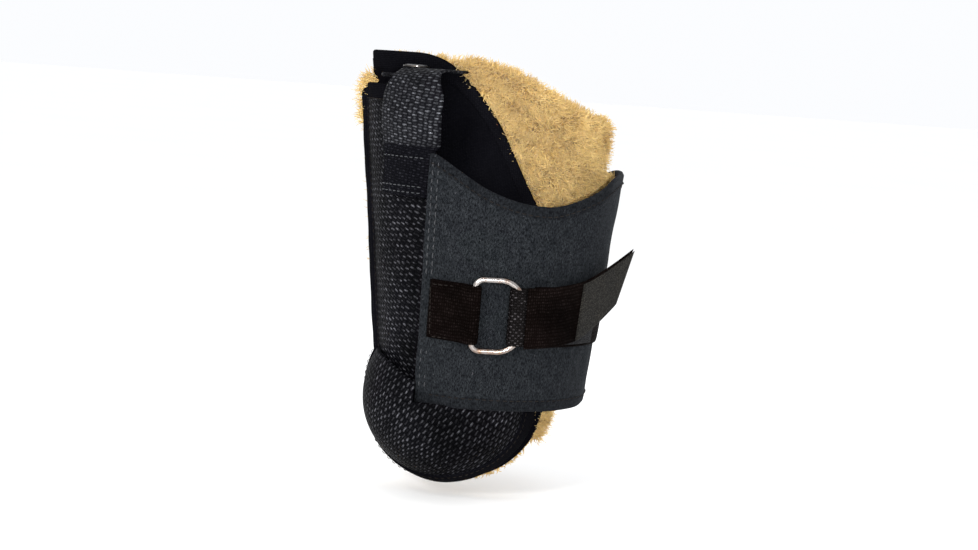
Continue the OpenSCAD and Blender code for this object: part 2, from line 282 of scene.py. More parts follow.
def heathered(name, dark, light):
    """The band's fine matt fabric: a tiny weave under a mottled blue-grey."""
    m, g, shader = material(name)
    stretched = g.scaled(g.cloth(), (1.0, 0.45, 1.0))
    fine = g.noise(150, 3, stretched, 0.7)
    mottle = g.noise(34, 4, stretched, 0.6)
    colour = g.mix(g.mask(fine, 0.36, 0.64), dark, light)
    patch = g.ramp(mottle, [(0.3, (0.58, 0.59, 0.62)), (0.7, (1.35, 1.33, 1.30))])
    lint = g.mask(g.noise(420, 2), 0.72, 0.8)
    colour = g.mix(g.math("MULTIPLY", lint, 0.35), g.mix(1.0, colour, patch, "MULTIPLY"), (0.10, 0.10, 0.11))
    parts = g.split(g.cloth())
    weave = [g.math("SINE", g.math("MULTIPLY", parts[i], 2 * math.pi * CLOTH_UNIT / 0.9)) for i in (0, 1)]
    soft = g.bump(g.noise(60, 3), 0.001, 0.4)
    knit = g.bump(g.math("MULTIPLY", *weave), 0.0001, 0.7, soft)
    g.fill(shader, {"Base Color": colour, "Roughness": g.remap(fine, 0.95, 0.72),
                    "Normal": g.bump(fine, 0.0004, 0.6, knit), "Specular IOR Level": 0.03,
                    "Sheen Weight": 0.04, "Sheen Roughness": 0.5, "Sheen Tint": (0.25, 0.27, 0.32, 1)})
    return m


def wool_material(name, root, mid, tip):
    """Sheepskin: dark at the roots of each lock and pale at its tip, with yellower patches."""
    m, g, shader = material(name)
    lock = g.node("ShaderNodeAttribute", attribute_name="lock").outputs["Fac"]
    colour = g.ramp(lock, [(0.0, root), (0.45, mid), (1.0, tip)])
    patch = g.ramp(g.noise(60, 4), [(0.3, (0.78, 0.7, 0.58)), (0.7, (1.12, 1.1, 1.05))])
    g.fill(shader, {"Base Color": g.mix(1.0, colour, patch, "MULTIPLY"), "Roughness": 0.9,
                    "Specular IOR Level": 0.15, "Sheen Weight": 0.25, "Sheen Roughness": 0.4,
                    "Subsurface Weight": 0.15, "Subsurface Radius": (0.004, 0.0025, 0.0015),
                    "Normal": g.bump(g.noise(700, 4), 0.0006, 0.7)})
    return m


def metal(name, colour, rough, wear_and_reflection, coat=0.0):
    m, g, shader = material(name)
    # Spots of the second colour: wear on the snap, a painted coppery reflection on the ring.
    g.fill(shader, {"Base Color": g.mix(g.mask(g.noise(220, 5), 0.45, 0.75), colour, wear_and_reflection),
                    "Roughness": g.remap(g.noise(500, 3), rough, rough + 0.2),
                    "Normal": g.bump(g.noise(900, 3), 0.00008, 0.4),
                    "Metallic": 1.0, "Coat Weight": coat})
    return m


def tape_hooks(name, dark, light, pitch=0.9):
    """Hook or loop tape: rows of tiny raised points."""
    m, g, shader = material(name)
    cells = g.node("ShaderNodeTexVoronoi")
    g.fill(cells.inputs, {"Vector": g.cloth(), "Scale": CLOTH_UNIT / pitch, "Randomness": 0.55})
    height = g.math("SUBTRACT", 1.0, g.math("MULTIPLY", cells.outputs["Distance"], 1.6))
    colour = g.mix(height, dark, light)
    dust = g.ramp(g.noise(70, 5), [(0.4, (0.8, 0.8, 0.8)), (0.75, (1.25, 1.22, 1.15))])
    g.fill(shader, {"Base Color": g.mix(1.0, colour, dust, "MULTIPLY"), "Normal": g.bump(height, 0.0005, 1.0),
                    "Roughness": g.remap(height, 0.95, 0.6), "Specular IOR Level": 0.2})
    return m


DEEP, BLACK = (0.0012, 0.0012, 0.0018), (0.002, 0.002, 0.003)
coarse = {"specular": 0.16, "cross": 0.3, "jitter": 0.2}
# Painted highlight: the light colours of the two nylons are the shine on their yarn tops, a little brighter
# on the toe.
BALLISTIC = woven("ballistic_nylon", DEEP, (0.122, 0.122, 0.138), (3.3, 1.5), 0.5, 0.4, turn=20,
                  glint_speckle=0.93, highlight_patchiness=0.7, **coarse)
TOE_NYLON = woven("toe_nylon", DEEP, (0.138, 0.138, 0.156), (3.3, 1.5), 0.5, 0.4, turn=-58,
                  glint_speckle=0.88, highlight_patchiness=0.5, **coarse)
LINING = woven("pouch_lining", BLACK, (0.0075, 0.0075, 0.009), (0.7, 0.7), 0.15, 0.7, specular=0.02,
               cross=1.0)
WEBBING = woven("cinch_webbing", (0.002, 0.0012, 0.001), (0.0165, 0.0120, 0.0115), (1.1, 1.6), 0.4, 0.5,
                glint_speckle=0.8, specular=0.06, highlight_patchiness=0.5, cross=0.9, jitter=0.2)
# Painted glint: a lighter copy of the webbing for where it folds over the ring's bar.
FOLD_GLINT = woven("fold_webbing_glint", (0.002, 0.0015, 0.0015), (0.070, 0.064, 0.068), (1.4, 1.3), 0.5, 0.3,
             glint_speckle=0.9, specular=0.4, highlight_patchiness=0.6, cross=0.2, jitter=0.2)
# Painted sheen: the retention webbing's light colour is the shine of its bulging upper part.
STRAP_SHEEN = woven("retention_webbing", BLACK, (0.155, 0.16, 0.178), (2.9, 1.4), 0.45, 0.34, turn=5,
              glint_speckle=0.75, specular=0.28, highlight_patchiness=0.4, jitter=0.2)
STRAP_BASE = woven("strap_base_webbing", BLACK, (0.024, 0.024, 0.030), (2.3, 1.3), 0.4, 0.45, turn=5,
                   glint_speckle=0.8, specular=0.12, jitter=0.2)
TAPE = woven("binding_tape", BLACK, (0.0095, 0.0095, 0.0115), (0.9, 0.9), 0.14, 0.6, specular=0.03, cross=1.0)
BAND = heathered("band_fabric", (0.0016, 0.0021, 0.0027), (0.0180, 0.0205, 0.0235))
BAND_EDGE = heathered("band_edge", (0.0016, 0.0019, 0.0025), (0.0125, 0.0142, 0.0165))
WOOL = wool_material("sheepskin", (0.20, 0.11, 0.040), (0.54, 0.368, 0.135), (0.78, 0.585, 0.25))
HOOK = tape_hooks("hook_tape", (0.0045, 0.0039, 0.003), (0.030, 0.0270, 0.0212))
LOOP = tape_hooks("loop_tape", BLACK, (0.015, 0.015, 0.017), 0.7)
THREAD = woven("thread", (0.05, 0.052, 0.056), (0.14, 0.145, 0.155), (0.5, 0.5), 0.08, 0.6, jitter=0.2)
DARK_THREAD = woven("dark_thread", (0.013, 0.011, 0.010), (0.045, 0.038, 0.033), (0.5, 0.5), 0.08, 0.6)
# Painted reflection: the ring's dark, warm colour and coppery spots stand in for dark and orange reflections.
CHROME = metal("ring_metal", (0.34, 0.315, 0.30), 0.13, (0.20, 0.10, 0.05))
SNAP = metal("snap_metal", (0.025, 0.025, 0.028), 0.3, (0.07, 0.06, 0.05), coat=0.2)

# ---- mesh making
def add(name, data):
    obj = bpy.data.objects.new(name, data)
    bpy.context.scene.collection.objects.link(obj)
    return obj


def build(name, verts, faces, mat, uv, values=None):
    """A mesh object from points in millimetres, with its cloth UVs per point."""
    mesh = bpy.data.meshes.new(name)
    mesh.from_pydata((np.asarray(verts, float) * MM).tolist(), [], [tuple(f) for f in faces])
    mesh.materials.append(mat)
    corner = np.empty(len(mesh.loops), np.int32)
    mesh.loops.foreach_get("vertex_index", corner)
    layer = mesh.uv_layers.new(name="cloth")
    layer.data.foreach_set("uv", (np.asarray(uv, float)[corner] / CLOTH_UNIT).ravel())
    if values is not None:
        shade = mesh.attributes.new("lock", "FLOAT", "POINT").data
        shade.foreach_set("value", np.asarray(values, np.float32))
    mesh.update()
    mesh.shade_smooth()
    return add(name, mesh)


TURN_DEGREES = [0, 25, 50, 70, 90]      # points round a turned edge
MID_Z = 60.0            # height at which a sheet's width is taken


def edge_lines(length, round_r, step):
    """Distances along a side: dense where the edge turns over, even in between."""
    turn = round_r * (1 - np.cos(np.radians(TURN_DEGREES)))
    inner = np.linspace(turn[-1], length - turn[-1], max(2, int(length / step)))[1:-1]
    return np.concatenate([turn, inner, length - turn[::-1]])


def ripple(a, z, size, seed=0.0):
    """Slow uneven swell of a fabric surface, in millimetres."""
    a, z = np.broadcast_arrays(np.asarray(a, float), z)
    return size * (0.45 * np.sin(a * 0.11 + z * 0.05 + seed) + 0.3 * np.sin(a * 0.23 - z * 0.09 + 2.1 * seed)
                   + 0.25 * np.sin(z * 0.21 + 0.07 * a + 1.3 * seed))


def sheet_points(place, a0, a1, low, high, near, far, step, swell):
    """Outer and inner points of a sheet of fabric with rounded edges, and its UVs."""
    a0, a1 = (f if callable(f) else (lambda z, v=f: np.full_like(z, v)) for f in (a0, a1))
    half, mid = (far - near) / 2, (far + near) / 2
    width = float(np.radians(a1(MID_Z) - a0(MID_Z)) * radius(MID_Z))
    across = edge_lines(width, half, step) / width

    def outline(edge, z):
        z = np.full_like(across, z)
        for _ in range(4 if callable(edge) else 0):
            z = 0.3 * z + 0.7 * edge(place(a0(z) + across * (a1(z) - a0(z)), mid, z)[:, 0])
        return z

    lo, hi = outline(low, -15.0 if callable(low) else low), outline(high, 110.0 if callable(high) else high)
    hi = np.maximum(hi, lo + 4 * half + 0.5)
    turn = half * (1 - np.cos(np.radians(TURN_DEGREES)))
    count = max(3, int(np.max(hi - lo) / step))
    inner = (hi - lo - 2 * turn[-1])[:, None] * np.linspace(0, 1, count)[1:-1]
    z = np.concatenate([lo[:, None] + turn, (lo + turn[-1])[:, None] + inner, hi[:, None] - turn[::-1]], 1)
    f = across[:, None]
    angle = a0(z) + f * (a1(z) - a0(z))
    edge_u = np.minimum(f, 1 - f) * width
    edge_v = np.minimum(z - lo[:, None], hi[:, None] - z)
    thick = half * rounded(np.minimum(edge_u, edge_v) / half)
    bulge = swell(angle, z) if swell else 0.0
    uv = np.stack([np.radians(angle) * WRAP_R * 1.1, z], -1)
    return place(angle, mid + thick + bulge, z), place(angle, mid - thick + bulge, z), uv


def closed_grid(outer, inner):
    """Points and faces of two equal grids sewn together along their border."""
    nu, nv = outer.shape[:2]
    index = np.arange(nu * nv).reshape(nu, nv)
    back = index + nu * nv
    border = np.ones((nu, nv), bool)
    border[1:-1, 1:-1] = False
    back[border] = index[border]
    keep = np.concatenate([np.ones(nu * nv, bool), ~border.ravel()])
    new = np.cumsum(keep) - 1
    points = np.concatenate([outer.reshape(-1, 3), inner.reshape(-1, 3)])[keep]

    def quads(t):
        return np.stack([t[:-1, :-1], t[1:, :-1], t[1:, 1:], t[:-1, 1:]], -1).reshape(-1, 4)
    faces = np.concatenate([quads(index), quads(new[back])[:, ::-1]])
    return points, faces, keep


def shell(name, outer, inner, uv, mat, way=1):
    """A piece between two grids of points. way is -1 where the grids run the other way round."""
    points, faces, keep = closed_grid(outer, inner)
    return build(name, points, faces[:, ::way], mat, np.concatenate([uv.reshape(-1, 2)] * 2)[keep])


def border_steps(count):
    """Steps from each of a row of points to the nearer end of the row."""
    return np.minimum(np.arange(count), np.arange(count)[::-1])


def sheet(name, place, a0, a1, low, high, near, far, mat, step, swell=None):
    return shell(name, *sheet_points(place, a0, a1, low, high, near, far, step, swell), mat)


def tube_faces(start, ahead, sides):
    """Faces between two rings of points, from the number of each ring's first point."""
    k, after = np.arange(sides), (np.arange(sides) + 1) % sides
    return np.stack([start + k, start + after, ahead + after, ahead + k], -1).reshape(-1, 4)


def strap(name, centre, up, width, thick, mat, out=None, round_end=0.0):
    """Webbing swept along a centre line, with its widthwise and, if they're given, outward directions."""
    up = np.broadcast_to(up, centre.shape)
    out = unit(np.cross(up, np.gradient(centre, axis=0)) if out is None else out)
    n, up, run = len(centre), unit(up), lengths(centre)
    fine = np.concatenate([[-1, -0.985, -0.95], np.linspace(-0.88, 0.88, 9), [0.95, 0.985, 1]])
    height = np.sqrt(np.clip(1 - (np.abs(fine) * 1.02 - 0.02).clip(0, 1) ** 14, 0, 1))
    ring_w = np.concatenate([fine, fine[::-1][1:-1]])
    ring_t = np.concatenate([height, -height[::-1][1:-1]])
    depth = thick / 2 * rounded(np.minimum(run, run[-1] - run) / (thick * 0.5))
    half_w = np.full(n, width / 2)
    if round_end:
        half_w -= round_end * (1 - rounded((run[-1] - run) / round_end))
    points = (centre[:, None] + up[:, None] * (ring_w * half_w[:, None])[..., None]
              + out[:, None] * (ring_t * depth[:, None])[..., None])
    m = len(ring_w)
    start = np.arange(n - 1)[:, None] * m
    faces = tube_faces(start, start + m, m).tolist() + [range(m)[::-1], range((n - 1) * m, n * m)]
    uv = np.stack(np.broadcast_arrays(run[:, None], ring_w * width / 2), -1)
    return build(name, points.reshape(-1, 3), faces, mat, uv.reshape(-1, 2))


def closed_tube(name, path, thickness, mat, side, sides=20):
    """A round bar along a closed path."""
    along = unit(np.roll(path, -1, 0) - np.roll(path, 1, 0))
    side = unit(side - along * np.sum(side * along, 1)[:, None])
    third = np.cross(along, side)
    t = np.linspace(0, 2 * np.pi, sides, endpoint=False)
    points = path[:, None] + thickness / 2 * (side[:, None] * np.cos(t)[None, :, None]
                                              + third[:, None] * np.sin(t)[None, :, None])
    rows = np.arange(len(path))[:, None]
    faces = tube_faces(rows * sides, (rows + 1) % len(path) * sides, sides)
    uv = np.stack(np.broadcast_arrays(lengths(path)[:, None], t[None] * 2), -1).reshape(-1, 2)
    return build(name, points.reshape(-1, 3), faces, mat, uv)


def stitches(name, spots, mat, length, thick, lift=0.25):
    """Sewn stitches. Each spot is a point on the cloth, its outward normal and its direction."""
    p, n, d = (np.array(v)[:, None, None] for v in zip(*spots))
    n, d = unit(n), unit(d)
    steps, sides = 7, 6
    s = np.linspace(-1, 1, steps)[:, None, None]
    t = np.linspace(0, 2 * np.pi, sides, endpoint=False)[:, None]
    arch = lift * (1 - s * s) - 0.35 * np.abs(s) ** 6
    r = thick / 2 * (1 - 0.45 * np.abs(s) ** 4)
    verts = (p + d * s * length / 2 + n * arch) + np.cross(n, d) * r * np.cos(t) + n * r * 0.8 * np.sin(t)
    uv = np.stack(np.broadcast_arrays(s[..., 0] * length / 2, t.T), -1).reshape(-1, 2)
    faces, whole = [], steps * sides
    for base in range(0, len(spots) * whole, whole):
        rows = base + np.arange(steps - 1)[:, None] * sides
        faces += tube_faces(rows, rows + sides, sides).tolist()
        faces += [range(base, base + sides)[::-1], range(base + whole - sides, base + whole)]
    return build(name, verts.reshape(-1, 3), faces, mat, np.tile(uv, (len(spots), 1)))


def seam(place, line, pitch=4.0):
    """Stitch spots along a list of (angle, offset, height) on a surface."""
    line = np.asarray(line, float)
    p, lifted = place(*line.T), place(line[:, 0], line[:, 1] + 1, line[:, 2])
    run = lengths(p)

    def along(s, values):
        return np.array([np.interp(s, run, v) for v in values.T])

    spots = []
    for s in np.arange(pitch / 2, run[-1], pitch):
        at = along(s, p)
        spots.append((at, along(s, lifted - p), along(min(s + 1, run[-1]), p) - at + 1e-9))
    return spots


# ---- sheepskin
def locks(root, normal, long, thick=(0.32, 0.6), steps=6):
    """Curled locks of wool growing from points along directions, leaning together in clumps."""
    count, sides = len(root), 3
    drift = 2.4 * np.sin(root @ (0.11, 0.17, 0.07)) + 1.9 * np.sin(root @ (-0.13, 0.09, 0.16))
    clump = np.stack([np.sin(root @ k + i + drift * (i - 1.5)) for i, k in
                      enumerate(((0.45, 0.2, 0.3), (-0.3, 0.4, 0.4), (0.25, -0.4, 0.45)))], -1)
    lean = unit(normal + 0.5 * clump + rng.normal(0, 0.38, (count, 3)) + np.array([0, 0, -0.12]))
    length = long * rng.uniform(0.55, 1.1, count)
    curl = rng.normal(0, 1, (count, 3))
    curl = unit(curl - lean * np.sum(curl * lean, 1)[:, None])
    other = np.cross(lean, curl)
    s = np.linspace(0, 1, steps)
    wave = rng.uniform(0, 6.28, count)[:, None] + s * rng.uniform(3.0, 7.0, count)[:, None]
    sway = s ** 0.8 * rng.uniform(0.6, 1.7, count)[:, None]
    spine = (root[:, None] + lean[:, None] * s[:, None] * length[:, None, None]
             + curl[:, None] * (np.cos(wave) * sway)[..., None]
             + other[:, None] * (np.sin(wave) * sway)[..., None])
    r = rng.uniform(*thick, count)[:, None] * (1 - 0.75 * s ** 2)
    t = np.linspace(0, 2 * np.pi, sides, endpoint=False)
    ring = curl[:, None, None] * np.cos(t)[:, None] + other[:, None, None] * np.sin(t)[:, None]
    points = (spine[:, :, None] + ring * r[..., None, None]).reshape(-1, 3)
    start = (np.arange(count)[:, None, None] * steps + np.arange(steps - 1)[:, None]) * sides
    faces = tube_faces(start, start + sides, sides)
    tone = rng.uniform(-0.18, 0.18, count)[:, None, None]
    shade = np.broadcast_to(0.12 + 0.85 * s[None, :, None] + tone, (count, steps, sides)).ravel()
    return points, faces, np.clip(shade, 0, 1)


def scatter(points, faces, hidden, count):
    """Random roots and their normals over faces, more of them on upper and lower edges."""
    tri = np.concatenate([faces[:, :3], faces[:, [0, 2, 3]]])
    a, b, c = (points[tri[:, i]] for i in range(3))
    normal = np.cross(b - a, c - a)
    area = np.linalg.norm(normal, axis=1)
    normal = normal / (area[:, None] + 1e-9)
    weight = area * (1 + 2.0 * np.abs(normal[:, 2])) * ~hidden((a + b + c) / 3, normal)
    pick = rng.choice(len(tri), count, p=weight / weight.sum())
    u, v = rng.random((2, count))
    flip = u + v > 1
    u[flip], v[flip] = 1 - u[flip], 1 - v[flip]
    return a[pick] + u[:, None] * (b - a)[pick] + v[:, None] * (c - a)[pick], normal[pick]


def foot(z):
    """Share of the full length: locks are clipped short round the bottom of the leg pad."""
    return 1 - 0.5 * np.clip((-4 - z) / 12, 0, 1)


def lumps(a, z):
    drift = 2.2 * np.sin(a * 0.21 + z * 0.09) + 1.7 * np.sin(z * 0.17 - a * 0.13)
    return 0.5 * np.sin(a * 0.7 + z * 0.23 + drift) * np.sin(z * 0.37 - a * 0.3 - 1.3 * drift)


def wool(name, place, a0, a1, low, high, near, far, count, hidden, long=6.0):
    """A pad of sheepskin: a lumpy slab set in from the CAD pad, covered in curled locks."""
    outer, inner, _ = sheet_points(place, a0, a1, low, high, near + 3.0, far, 2.2, lumps)
    points, faces, _ = closed_grid(outer, inner)
    root, normal = scatter(points, faces, hidden, count)
    more, quads, shade = locks(root, normal, long * foot(root[:, 2]))
    shade = np.concatenate([np.full(len(points), 0.5), shade])
    obj = build(name, np.concatenate([points, more]), np.concatenate([faces, quads + len(points)]), WOOL,
                np.zeros((len(shade), 2)), shade)
    return obj, points, faces


def fuzz(name, root, normal, long, thick=(0.2, 0.38), steps=5):
    points, faces, shade = locks(root, normal, long, thick, steps)
    return build(name, points, faces, WOOL, np.zeros((len(points), 2)), shade)


def finish_piece(obj, *nodes):
    """Reads the name of the piece's material, and hides the CAD nodes that it stands for."""
    look = obj.data.materials[0].name.split(".")[0]     # Blender numbers a name that is taken
    if nodes:
        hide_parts(*nodes)
    return obj


def place_on(obj, *nodes, body="holster"):
    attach(obj, body)
    return finish_piece(obj, *nodes)


def bend(obj, a, b, start, end, *nodes):
    """Bakes the piece's placement into its mesh and hides the CAD nodes that it stands for. The bodies a and
    b and the points start and end are not used.
    """
    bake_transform(obj)
    return finish_piece(obj, *nodes)


# ---- pouch
def ear_right(z):
    return pouch_angle(BAND_X + 1.2, z, -3.7)


def body_left(z):
    return 180 + np.degrees(np.arccos(np.clip((radius(z) - 7.4) / (radius(z) - 2), -1, 1)))


def body_right(z):
    return 540 - body_left(z)


def round_low(r):
    """Lower outline of the back layers: round below the wrap, straight at its sides."""
    return lambda x: -np.sqrt(np.clip(r * r - (x - BACK_X) ** 2, 0, None))


def lining_top(x):
    return np.where(x < BAND_X + 1, EAR_H - 3, mouth(x) - 2)


front = place_on(sheet("pouch_front_strip", pouch, 185.5, ear_right, 0.5, EAR_H - 2, -4.7, -2.5, BALLISTIC,
                       2.0, lambda a, z: ripple(a, z, 0.35)), "pouch_front_panel")
under = place_on(sheet("pouch_front_inner", pouch, lambda z: pouch_angle(BAND_X + 1.6, z, -3.7), 354, 1.0,
                       below(mouth, 1.2), -4.7, -2.9, BALLISTIC, 3.0))
lining = place_on(sheet("pouch_lining_front", pouch, 186.5, 354, 2.0, lining_top, -6.2, -4.9, LINING, 3.0,
                        lambda a, z: ripple(a, z, 0.5, 2)), "pouch_front_lining")
back_lining = place_on(sheet("pouch_lining_back", leg, body_left, body_right, round_low(40),
                             below(nylon_top, 1), -1.0, 0.1, LINING, 2.5,
                             lambda a, z: ripple(a, z, 0.35, 1)), "pouch_back_lining")
back_panel = place_on(sheet("back_nylon", leg, body_left, body_right, round_low(40.5), below(nylon_top, 1),
                            -3.9, -1.2, BALLISTIC, 3.0), "back_panel", "back_stiffener")


def nylon_strip(x):
    slope = np.gradient(nylon_top(x), x)
    return nylon_top(x) - BINDING * np.sqrt(1 + slope ** 2)


def bound(name, place, a0, a1, low, high, near, far, *nodes, step=1.6, swell=None):
    """An edge of the pouch bound in tape."""
    return place_on(sheet(name, place, a0, a1, low, high, near, far, TAPE, step, swell), *nodes)


bound("back_top_binding", leg, body_left, body_right, nylon_strip, nylon_top, -4.3, 0.6, "back_binding")
bound("left_edge_binding", pouch, 177.5, 187.0, 0.0, EAR_H + 0.3, -7.0, 0.3, "edge_binding", step=2.0,
      swell=lambda a, z: ripple(a * 3, z * 1.7, 0.3))
bound("ear_top_binding", pouch, 186.2, ear_right, EAR_H - BINDING, EAR_H + 0.2, -6.4, -2.3, "ear_binding")
bound("ear_side_binding", pouch, lambda z: pouch_angle(BAND_X - 3.2, z, -3.7),
      lambda z: pouch_angle(BAND_X + 1.8, z, -3.7), 121.0, EAR_H - 1, -6.4, -2.25)
bound("hidden_seam_tape", pouch, 354.3, 361, 1, 106, -6.8, -2.9, "seam_tape", step=3.0)

# ---- rounded toe
def ball(phi, psi, r):
    phi, psi = np.radians(phi), np.radians(psi)
    return np.stack(np.broadcast_arrays(TOE_X + r * np.cos(phi) * np.sin(psi), TOE_Y - r * np.cos(psi),
                                        r * np.sin(phi) * np.sin(psi)), -1)


def reach(phi, grow):
    """How far round the ball, in degrees, the surface stays outside the leg by a distance."""
    psi = np.linspace(20, 107, 350)
    p = ball(phi[:, None], psi[None], TOE_R)
    outside = np.hypot(p[..., 0], p[..., 1]) > radius(p[..., 2]) + grow
    far = psi[np.argmax(np.cumsum(outside, 1), 1)]
    return np.convolve(np.pad(far, 5, mode="edge"), np.full(11, 1 / 11), "valid")


def toe_sheet(name, phi, start, stop, near, far, mat, step):
    half, mid = (far - near) / 2, (far + near) / 2
    width = np.radians(stop - start).mean() * TOE_R
    t = edge_lines(width, half, step) / width
    psi = start[:, None] + (stop - start)[:, None] * t
    end = border_steps(len(phi)) * np.radians(phi[1] - phi[0]) * TOE_R * 0.7
    thick = half * rounded(np.minimum(np.minimum(t, 1 - t) * width, end[:, None]) / half)
    dent = 0.35 * np.sin(np.radians(phi[:, None] * 5)) * np.sin(np.radians(psi * 3))
    outer, inner = (ball(phi[:, None], psi, TOE_R + mid + side * thick + dent) for side in (1, -1))
    r, turn = np.radians(psi) * TOE_R, np.radians(phi)[:, None]
    return shell(name, outer, inner, np.stack([r * np.cos(turn), r * np.sin(turn)], -1), mat, -1)


phi = np.concatenate([np.linspace(150, 180, 24), np.linspace(180.3, 360, 124)])
clear = np.degrees(np.arcsin(np.clip(17.2 / (TOE_R * np.abs(np.cos(np.radians(phi))) + 1e-6), 0, 1)))
start = np.where(phi < 180.1, clear, -1.6)
rim = reach(phi, TOE_RIM)
toe = place_on(toe_sheet("pouch_toe_cap", phi, start, rim + 1.5, -2.0, 0.1, TOE_NYLON, 2.0), "pouch_toe")
place_on(toe_sheet("toe_rim_binding", phi, rim - 0.5, reach(phi, 0.2), -2.6, 0.9, TAPE, 1.5), "toe_binding")

# ---- sheepskin pads
def outward(p, n, share=0.25):
    """Faces that look away from the leg's axis by more than a share of the full way."""
    return n[:, 0] * p[:, 0] + n[:, 1] * p[:, 1] > share * np.hypot(p[:, 0], p[:, 1])


def on_body_back(p, n):
    """Faces against the nylon back panel, where no lock may grow through."""
    behind = (p[:, 2] < nylon_top(p[:, 0]) + 1.5) & (np.abs(p[:, 0]) < radius(p[:, 2]) - 7)
    return outward(p, n, 0) & behind & (p[:, 2] > round_low(39)(p[:, 0]))


def covered(p, n):
    """Outer faces, and the end faces that butt against the next panel's wool."""
    angle = np.degrees(np.arctan2(p[:, 1], p[:, 0]))
    at_fold = (np.abs(angle - HINGE_A) < 2.4) | (np.abs(angle - FLAP_A) < 2.4)
    end = np.abs(n[:, 1] * p[:, 0] - n[:, 0] * p[:, 1]) > 0.6 * np.hypot(p[:, 0], p[:, 1])
    return outward(p, n) | at_fold | end


def unseen(p, n):
    """All of the pad but its outer face above the mouth and its upper rim."""
    rims = p[:, 2] > pad_top(p[:, 0]) - 5
    return on_body_back(p, n) | ~((outward(p, n) & (p[:, 2] > 85)) | rims)


pad, skin, skin_faces = wool("leg_pad_wool", leg, WING_END + 1.5, 331, round_low(40.2), below(pad_top, 2),
                             -11.5, -4.4, 11800, on_body_back)
place_on(pad, "fleece_pad")
root, normal = scatter(skin, skin_faces, unseen, 15500)
place_on(fuzz("pad_fuzz", root, normal, 6.2))
z = np.concatenate([rng.uniform(131, 154, 2600), rng.uniform(60, 156, 2200)])
upper = np.exp(-((z - 143) / 11) ** 4)
root = leg(rng.uniform(202.5, 208.5, z.size), rng.uniform(-9, -2, z.size), z)
place_on(fuzz("shin_edge_fuzz", root, np.array([-0.95, 0.28, 0.05]), 9.5 + 4.0 * upper, (0.22, 0.42), 6))
root, normal = scatter(skin, skin_faces, lambda p, n: outward(p, n, -0.4), 15500)
place_on(fuzz("pad_inner_fuzz", root, normal, 5.2 * foot(root[:, 2]), (0.28, 0.5)))
a, t = rng.uniform(305, 322, 1300), rng.random(1300)
root = leg(a, rng.uniform(-8, -4.2, t.size), -2 - 17 * t)
root = root[np.hypot(root[:, 0] - BACK_X, root[:, 2]) < 43]
place_on(fuzz("toe_side_fuzz", root, np.array([0.75, -0.65, -0.05]), 7.0))
place_on(wool("band_wool", leg, 332.6, 394.4, 2.0, below(mouth, 3), -11.5, -3.0, 5200, covered)[0],
         "band_fleece")
place_on(wool("wing_wool", leg, 162, WING_END, 3.5, 46.5, -11.5, -7.7, 1800, covered, 4.5)[0], "wing_fleece")
bend(wool("far_wool", leg, 35.6, 129.4, 2.0, below(far_top, 3), -11.5, -3.0, 8500, covered)[0],
     "holster", "far_wrap", leg(35.6, 0, 0), leg(46.0, 0, 0), "far_fleece")
bend(wool("flap_wool", leg, 130.4, 157, 3.0, 47.0, -11.5, -3.0, 1500, covered)[0],
     "far_wrap", "flap", leg(130.4, 0, 0), leg(139.0, 0, 0), "flap_fleece")

# ---- wrap band
def band_left(z):
    return pouch_angle(BAND_X, z, -1.2) - 360


def drape(a, z):
    """The band's soft swell: drawn in under the cinch strap, fuller above and below it."""
    free = 1 - np.exp(-((z - CINCH_Z) / 21) ** 4)
    gather = 0.22 * np.sin(a * 0.62 + 1.4 * np.sin(a * 0.17)) * np.exp(-((np.abs(z - CINCH_Z) - 22) / 8) ** 2)
    return ripple(a, z, 0.25 + 0.5 * free) + 0.45 * free - 0.25 + gather


Q_END = POUCH + HINGE_A
band = place_on(sheet("band_front", wrap, band_left, Q_END, 3.0, below(mouth, 3), -2.5, 0.0, BAND, 2.0,
                      drape), "band_front_panel")
place_on(sheet("band_mouth_edge", wrap, band_left, Q_END, below(mouth, BINDING), mouth, -2.8, 0.25,
               BAND_EDGE, 1.6, drape), "mouth_binding")
place_on(sheet("band_lower_hem", wrap, band_left, Q_END, -1.0, BINDING, -3.0, 0.2, BAND_EDGE, 1.6, drape),
         "band_hem")


# start, end, and the two bodies of a panel
FAR, FLAP = (HINGE_A, FLAP_A, "holster", "far_wrap"), (FLAP_A, FLAP_END, "far_wrap", "flap")


def folded(name, panel, low, high, near, far, mat, step, node):
    """A piece of the far panel or of the flap, between the panel's start and end angles."""
    a0, a1, *bodies = panel
    return bend(sheet(name, leg, a0, a1, low, high, near, far, mat, step, drape), *bodies,
                leg(a0 - 2.0, 0, 0), leg(a0 + 8.0, 0, 0), node)


far_band = folded("band_far", FAR, 3.0, below(far_top, 3), -2.5, 0.0, BAND, 2.0, "band_far_panel")
folded("far_top_edge", FAR, below(far_top, BINDING), far_top, -2.8, 0.25, BAND_EDGE, 1.6, "far_binding")
folded("far_lower_hem", FAR, -1.0, BINDING, -3.0, 0.2, BAND_EDGE, 1.6, "far_hem")
flap = folded("flap_band", FLAP, 3.0, FLAP_H - 2, -2.5, 0.0, BAND, 2.0, "band_flap")
folded("flap_top_edge", FLAP, FLAP_H - BINDING, FLAP_H + 0.8, -3.0, 0.3, BAND_EDGE, 1.6, "flap_binding")
folded("flap_lower_hem", FLAP, 0.2, BINDING + 0.6, -3.0, 0.3, BAND_EDGE, 1.6, "flap_hem")
place_on(sheet("flap_end_edge", leg, FLAP_END - 3, FLAP_END + 2, 0.4, FLAP_H + 0.6, -3.1, 0.4,
               BAND_EDGE, 1.6), body="flap")
place_on(sheet("flap_hook", leg, FLAP_A + 36, FLAP_END - 5, 7, 41, -3.5, -2.55, HOOK, 2.0),
         "flap_hook_patch", body="flap")
wing = place_on(sheet("front_wing_panel", leg, 161.5, WING_END, 2, 48, -7.4, -5.0, BAND, 2.0,
                      lambda a, z: ripple(a, z, 0.2)), "front_wing")
